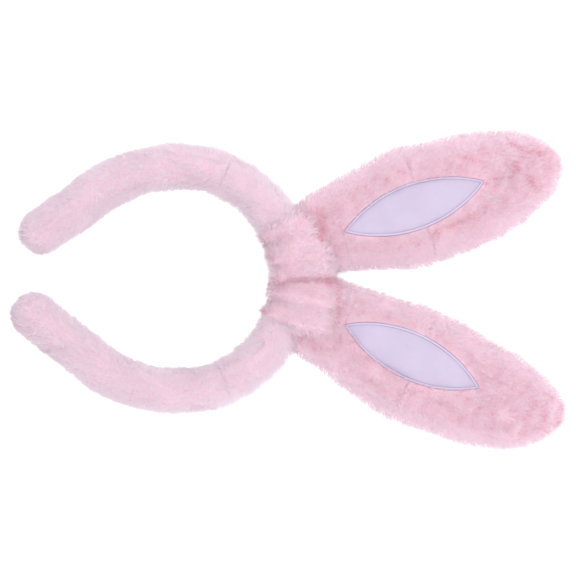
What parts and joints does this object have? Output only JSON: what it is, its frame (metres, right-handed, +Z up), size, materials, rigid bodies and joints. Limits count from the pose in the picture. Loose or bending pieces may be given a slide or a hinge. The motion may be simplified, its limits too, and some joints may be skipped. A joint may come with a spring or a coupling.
{
  "type": "animal ears headband",
  "caption": "Plush-covered spring headband with tall, wired and stuffed animal ears that have pointed satin inners.",
  "frame": {"origin": "the point of the crown's inner face, on the middle plane, that touches the top of the head", "axes": "+Z up as worn, towards the ear tips; the satin ear fronts and the wearer's face look along -Y; the wearer's left is +X and right is -X"},
  "size_m": [0.2038, 0.0354, 0.3533],
  "materials": {
    "band_plush": "short soft faux-fur pile, pale cool pink",
    "ear_plush": "short soft faux-fur pile, warm pink",
    "wrap_plush": "short soft faux-fur pile, pink, gathered",
    "satin": "smooth lavender satin",
    "border_thread": "glossy embroidery thread, satin stitch",
    "spring_steel": "rolled spring strip",
    "boot_rubber": "soft moulded boot",
    "foam": "open-cell foam",
    "wire": "coated bending wire",
    "fibre_filling": "loose polyester fibre"
  },
  "bodies": {
    "crown": {"crown_strip": "spring_steel", "crown_foam": "foam", "crown_sleeve": "band_plush", "right_ear_wrap": "wrap_plush", "right_ear_base": "wrap_plush", "left_ear_wrap": "wrap_plush", "left_ear_base": "wrap_plush"},
    "right_upper_arm": {"right_upper_arm_strip": "spring_steel", "right_upper_arm_foam": "foam", "right_upper_arm_sleeve": "band_plush"},
    "right_lower_arm": {"right_lower_arm_strip": "spring_steel", "right_lower_arm_foam": "foam", "right_lower_arm_sleeve": "band_plush", "right_strip_boot": "boot_rubber"},
    "right_ear_neck": {"right_ear_neck": "wrap_plush", "right_wire_anchor": "wire"},
    "right_ear": {"right_wire_legs": "wire", "right_ear_filling": "fibre_filling", "right_front_plush": "ear_plush", "right_back_plush": "ear_plush", "right_satin_inner": "satin", "right_inner_border": "border_thread"},
    "right_ear_tip": {"right_wire_bow": "wire", "right_tip_filling": "fibre_filling", "right_tip_front_plush": "ear_plush", "right_tip_back_plush": "ear_plush"},
    "left_upper_arm": {"left_upper_arm_strip": "spring_steel", "left_upper_arm_foam": "foam", "left_upper_arm_sleeve": "band_plush"},
    "left_lower_arm": {"left_lower_arm_strip": "spring_steel", "left_lower_arm_foam": "foam", "left_lower_arm_sleeve": "band_plush", "left_strip_boot": "boot_rubber"},
    "left_ear_neck": {"left_ear_neck": "wrap_plush", "left_wire_anchor": "wire"},
    "left_ear": {"left_wire_legs": "wire", "left_ear_filling": "fibre_filling", "left_front_plush": "ear_plush", "left_back_plush": "ear_plush", "left_satin_inner": "satin", "left_inner_border": "border_thread"},
    "left_ear_tip": {"left_wire_bow": "wire", "left_tip_filling": "fibre_filling", "left_tip_front_plush": "ear_plush", "left_tip_back_plush": "ear_plush"}
  },
  "joints": [
    {"name": "right_arm_open", "type": "hinge", "parent": "crown", "child": "right_upper_arm", "pos_m": [-0.04885, 0, -0.00525], "axis": [0, 1, 0], "range_deg": [-3, 12], "stiffness_Nm_per_rad": 0.9},
    {"name": "right_temple_open", "type": "hinge", "parent": "right_upper_arm", "child": "right_lower_arm", "pos_m": [-0.073, 0, -0.0595], "axis": [0, 1, 0], "range_deg": [-3, 12]},
    {"name": "right_ear_lean", "type": "hinge", "parent": "crown", "child": "right_ear_neck", "pos_m": [-0.03014, 0, 0.0369], "axis": [0.9563, 0, 0.2924], "range_deg": [-45, 45]},
    {"name": "right_ear_splay", "type": "hinge", "parent": "right_ear_neck", "child": "right_ear", "pos_m": [-0.03233, 0, 0.04407], "axis": [0, -1, 0], "range_deg": [-8, 14]},
    {"name": "right_tip_fold", "type": "hinge", "parent": "right_ear", "child": "right_ear_tip", "pos_m": [-0.06376, 0, 0.14687], "axis": [0.9563, 0, 0.2924], "range_deg": [-60, 60]},
    {"name": "left_arm_open", "type": "hinge", "parent": "crown", "child": "left_upper_arm", "pos_m": [0.04885, 0, -0.00525], "axis": [0, -1, 0], "range_deg": [-3, 12], "stiffness_Nm_per_rad": 0.9},
    {"name": "left_temple_open", "type": "hinge", "parent": "left_upper_arm", "child": "left_lower_arm", "pos_m": [0.073, 0, -0.0595], "axis": [0, -1, 0], "range_deg": [-3, 12]},
    {"name": "left_ear_lean", "type": "hinge", "parent": "crown", "child": "left_ear_neck", "pos_m": [0.03028, 0, 0.03659], "axis": [0.9135, 0, -0.4067], "range_deg": [-45, 45]},
    {"name": "left_ear_splay", "type": "hinge", "parent": "left_ear_neck", "child": "left_ear", "pos_m": [0.03333, 0, 0.04344], "axis": [0, 1, 0], "range_deg": [-8, 14]},
    {"name": "left_tip_fold", "type": "hinge", "parent": "left_ear", "child": "left_ear_tip", "pos_m": [0.07706, 0, 0.14165], "axis": [0.9135, 0, -0.4067], "range_deg": [-60, 60]}
  ],
  "couplings": [
    {"joint": "right_temple_open", "follows": "right_arm_open", "ratio": 1},
    {"joint": "left_temple_open", "follows": "left_arm_open", "ratio": 1}
  ]
}
